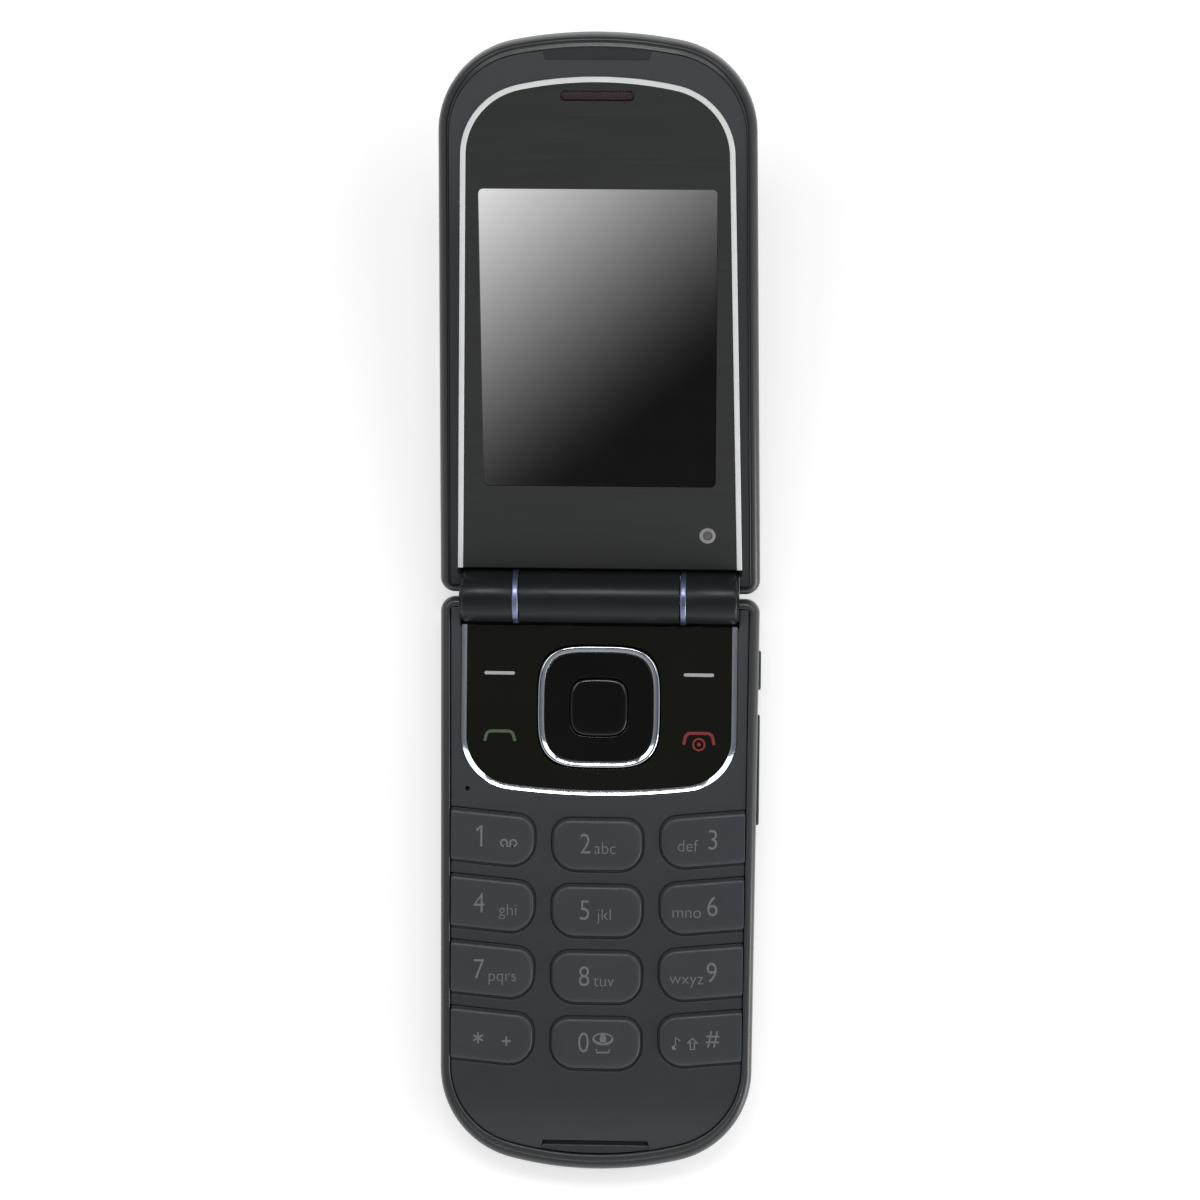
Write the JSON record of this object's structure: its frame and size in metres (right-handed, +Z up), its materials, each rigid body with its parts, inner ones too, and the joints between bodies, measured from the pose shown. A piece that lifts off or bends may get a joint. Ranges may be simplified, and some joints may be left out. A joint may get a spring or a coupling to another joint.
{
  "type": "flip phone",
  "caption": "Slim folding mobile phone with a tall hinged lid, display panel, navigation key and number keypad, shown fully open and lying on its back.",
  "frame": {"origin": "middle of the flat back that the base rests on, under the keypad", "axes": "+Z up out of the keypad, +Y from the keypad towards the lid, +X to the right of someone reading the keys"},
  "size_m": [0.0487, 0.1691, 0.0384],
  "materials": {
    "cover": "satin charcoal moulding",
    "key_plastic": "satin charcoal key tops",
    "black_gloss": "polished black",
    "barrel": "blue-black gloss",
    "bright_trim": "bright chromed plating",
    "silver_trim": "silver plated plastic line",
    "panel": "brushed dark panel",
    "window": "clear display window",
    "display": "display module",
    "board": "green glass-fibre circuit board",
    "steel": "turned steel",
    "cell": "wrapped lithium cell",
    "gold": "gold plated contact",
    "dome_film": "dark film over metal domes",
    "cable": "dark printed cable",
    "module": "black electronic module"
  },
  "bodies": {
    "base": {"base_rear_cover": "cover", "base_front_cover": "cover", "bright_bow": "bright_trim", "dome_sheet": "dome_film", "main_board": "board", "shield_can": "steel", "battery": "cell", "battery_contacts": "gold", "loudspeaker": "module", "vibration_motor": "steel", "antenna": "module", "microphone": "steel", "charging_socket": "steel", "base_screws": "steel", "base_barrels": "barrel", "hinge_rings": "bright_trim", "hinge_shaft": "steel", "pivot_tube": "steel"},
    "lid": {"lid_barrel": "barrel", "hinge_can": "steel", "cam_follower": "steel", "hinge_spring": "steel", "hinge_flex": "cable", "lid_outer_cover": "cover", "lid_inner_cover": "cover", "display_trim": "silver_trim", "display_panel": "panel", "display_lens": "window", "main_display": "display", "earpiece_mesh": "panel", "earpiece": "module", "video_camera_ring": "bright_trim", "video_camera": "module", "lid_board": "board", "outer_window": "black_gloss", "outer_display": "display", "camera_module": "module", "camera_ring": "bright_trim", "camera_glass": "black_gloss", "lid_screws": "steel"},
    "battery_cover": {"battery_cover": "cover"},
    "nav_key": {"nav_rim": "bright_trim", "nav_pad": "black_gloss"},
    "select_key": {"select_key": "black_gloss"},
    "function_key_left": {"function_key_left": "black_gloss"},
    "function_key_right": {"function_key_right": "black_gloss"},
    "volume_rocker": {"volume_rocker": "cover"},
    "shutter_key": {"shutter_key": "cover"},
    "key_1": {"key_1": "key_plastic"},
    "key_2": {"key_2": "key_plastic"},
    "key_3": {"key_3": "key_plastic"},
    "key_4": {"key_4": "key_plastic"},
    "key_5": {"key_5": "key_plastic"},
    "key_6": {"key_6": "key_plastic"},
    "key_7": {"key_7": "key_plastic"},
    "key_8": {"key_8": "key_plastic"},
    "key_9": {"key_9": "key_plastic"},
    "key_star": {"key_star": "key_plastic"},
    "key_0": {"key_0": "key_plastic"},
    "key_hash": {"key_hash": "key_plastic"}
  },
  "joints": [
    {"name": "lid_hinge", "type": "hinge", "parent": "base", "child": "lid", "pos_m": [0, 0.04365, 0.0094], "axis": [1, 0, 0], "range_deg": [0, 160]},
    {"name": "battery_cover_slide", "type": "slide", "parent": "base", "child": "battery_cover", "axis": [0, -1, 0], "range_m": [0, 0.062]},
    {"name": "nav_tilt", "type": "hinge", "parent": "base", "child": "nav_key", "pos_m": [0, 0.027, 0.0083], "axis": [1, 0, 0], "range_deg": [-1.5, 1.5], "stiffness_Nm_per_rad": 0.02},
    {"name": "select_press", "type": "slide", "parent": "base", "child": "select_key", "axis": [0, 0, -1], "range_m": [0, 0.0003], "stiffness_N_per_m": 200},
    {"name": "function_left_rock", "type": "hinge", "parent": "base", "child": "function_key_left", "pos_m": [0, 0.027, 0.0083], "axis": [1, 0, 0], "range_deg": [-1, 1], "stiffness_Nm_per_rad": 0.03},
    {"name": "function_right_rock", "type": "hinge", "parent": "base", "child": "function_key_right", "pos_m": [0, 0.027, 0.0083], "axis": [1, 0, 0], "range_deg": [-1, 1], "stiffness_Nm_per_rad": 0.03},
    {"name": "volume_rock", "type": "hinge", "parent": "base", "child": "volume_rocker", "pos_m": [0.0229, 0.0175, 0.006], "axis": [0, 0, 1], "range_deg": [-1, 1], "stiffness_Nm_per_rad": 0.02},
    {"name": "shutter_press", "type": "slide", "parent": "base", "child": "shutter_key", "axis": [-1, 0, 0], "range_m": [0, 0.00028], "stiffness_N_per_m": 200},
    {"name": "key_1_press", "type": "slide", "parent": "base", "child": "key_1", "axis": [0, 0, -1], "range_m": [0, 0.00035], "stiffness_N_per_m": 200},
    {"name": "key_2_press", "type": "slide", "parent": "base", "child": "key_2", "axis": [0, 0, -1], "range_m": [0, 0.00035], "stiffness_N_per_m": 200},
    {"name": "key_3_press", "type": "slide", "parent": "base", "child": "key_3", "axis": [0, 0, -1], "range_m": [0, 0.00035], "stiffness_N_per_m": 200},
    {"name": "key_4_press", "type": "slide", "parent": "base", "child": "key_4", "axis": [0, 0, -1], "range_m": [0, 0.00035], "stiffness_N_per_m": 200},
    {"name": "key_5_press", "type": "slide", "parent": "base", "child": "key_5", "axis": [0, 0, -1], "range_m": [0, 0.00035], "stiffness_N_per_m": 200},
    {"name": "key_6_press", "type": "slide", "parent": "base", "child": "key_6", "axis": [0, 0, -1], "range_m": [0, 0.00035], "stiffness_N_per_m": 200},
    {"name": "key_7_press", "type": "slide", "parent": "base", "child": "key_7", "axis": [0, 0, -1], "range_m": [0, 0.00035], "stiffness_N_per_m": 200},
    {"name": "key_8_press", "type": "slide", "parent": "base", "child": "key_8", "axis": [0, 0, -1], "range_m": [0, 0.00035], "stiffness_N_per_m": 200},
    {"name": "key_9_press", "type": "slide", "parent": "base", "child": "key_9", "axis": [0, 0, -1], "range_m": [0, 0.00035], "stiffness_N_per_m": 200},
    {"name": "key_star_press", "type": "slide", "parent": "base", "child": "key_star", "axis": [0, 0, -1], "range_m": [0, 0.00035], "stiffness_N_per_m": 200},
    {"name": "key_0_press", "type": "slide", "parent": "base", "child": "key_0", "axis": [0, 0, -1], "range_m": [0, 0.00035], "stiffness_N_per_m": 200},
    {"name": "key_hash_press", "type": "slide", "parent": "base", "child": "key_hash", "axis": [0, 0, -1], "range_m": [0, 0.00035], "stiffness_N_per_m": 200}
  ]
}
